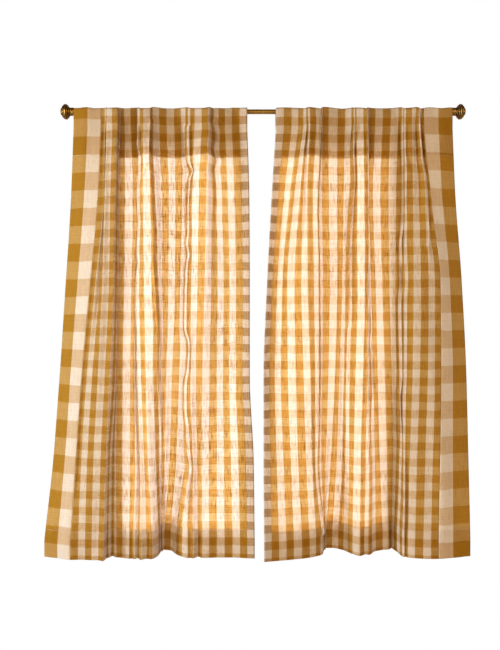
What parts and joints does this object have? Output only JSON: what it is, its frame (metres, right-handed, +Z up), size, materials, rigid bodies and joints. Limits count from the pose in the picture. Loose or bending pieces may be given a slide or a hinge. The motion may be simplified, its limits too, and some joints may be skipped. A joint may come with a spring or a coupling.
{
  "type": "cafe curtain pair on rod",
  "caption": "Short cafe curtain pair in gingham with a wider-checked outer border, gathered by a rod-pocket heading on a thin brass rod with turned finials.",
  "frame": {"origin": "the rod's axis at mid-length, where its brackets hold it up", "axes": "+X to the viewer's right along the rod, +Y toward the window wall, +Z up; the panels hang down -Z and face -Y"},
  "size_m": [0.87, 0.0883, 0.9203],
  "materials": {
    "brass": "aged brass, satin",
    "small_gingham": "slubby semi-sheer cotton, small mustard and cream check",
    "wide_gingham": "slubby cotton, wide mustard and cream check"
  },
  "bodies": {
    "root": {"rod": "brass", "finial_left": "brass", "finial_right": "brass", "left_panel": "small_gingham", "right_panel": "small_gingham", "left_border": "wide_gingham", "right_border": "wide_gingham"}
  },
  "joints": []
}
